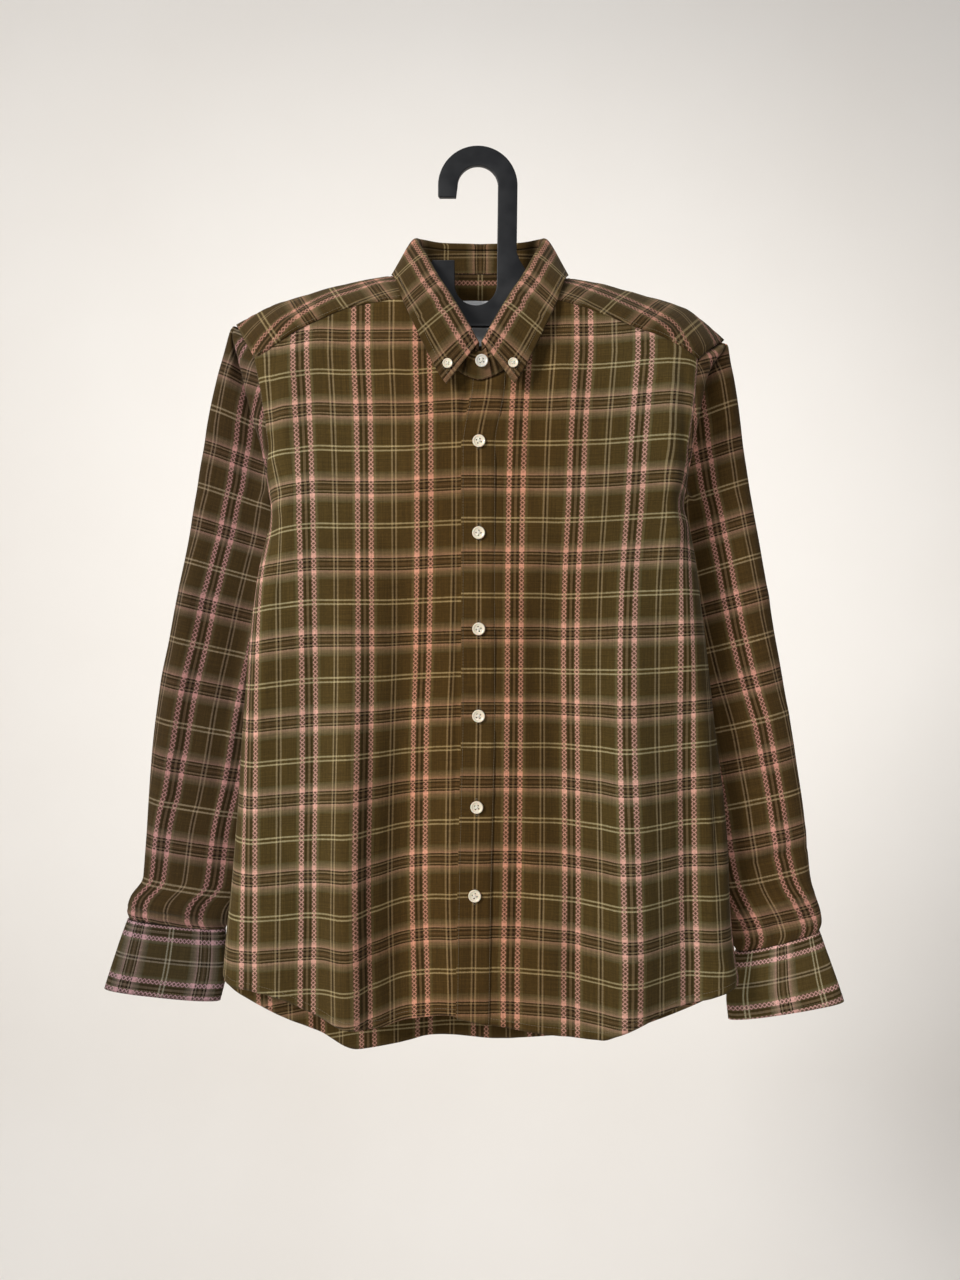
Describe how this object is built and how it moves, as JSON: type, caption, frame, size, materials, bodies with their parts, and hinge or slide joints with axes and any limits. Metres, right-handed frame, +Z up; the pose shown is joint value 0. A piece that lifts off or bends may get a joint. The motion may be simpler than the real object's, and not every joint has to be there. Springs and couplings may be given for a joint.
{
  "type": "long-sleeved flannel shirt on a flat plastic hanger",
  "caption": "Long-sleeved plaid flannel shirt with a button-down collar, yoke, cuffs and curved hem, buttoned up and hung on a flat plastic hanger.",
  "frame": {"origin": "inside top of the hanger's hook, at the middle of its thickness, where a peg carries it", "axes": "+X to the wearer's left across the shirt, -Y out of its front, +Z up"},
  "size_m": [0.7453, 0.1049, 0.9011],
  "materials": {
    "flannel": "brushed cotton plaid, matt",
    "satin": "woven satin, soft sheen",
    "button": "cream resin",
    "plastic": "black moulded plastic"
  },
  "bodies": {
    "root": {"hanger": "plastic", "back_panel": "flannel", "yoke": "flannel", "front_right": "flannel", "front_left": "flannel", "button_placket": "flannel", "sleeve_right": "flannel", "sleeve_left": "flannel", "cuff_right": "flannel", "cuff_left": "flannel", "sleeve_placket_right": "flannel", "sleeve_placket_left": "flannel", "collar_stand": "flannel", "collar_leaf": "flannel", "neck_label": "satin", "button_front_1": "button", "button_front_2": "button", "button_front_3": "button", "button_front_4": "button", "button_front_5": "button", "button_front_6": "button", "button_stand": "button", "button_collar_right": "button", "button_collar_left": "button", "button_cuff_right": "button", "button_cuff_left": "button"}
  },
  "joints": []
}
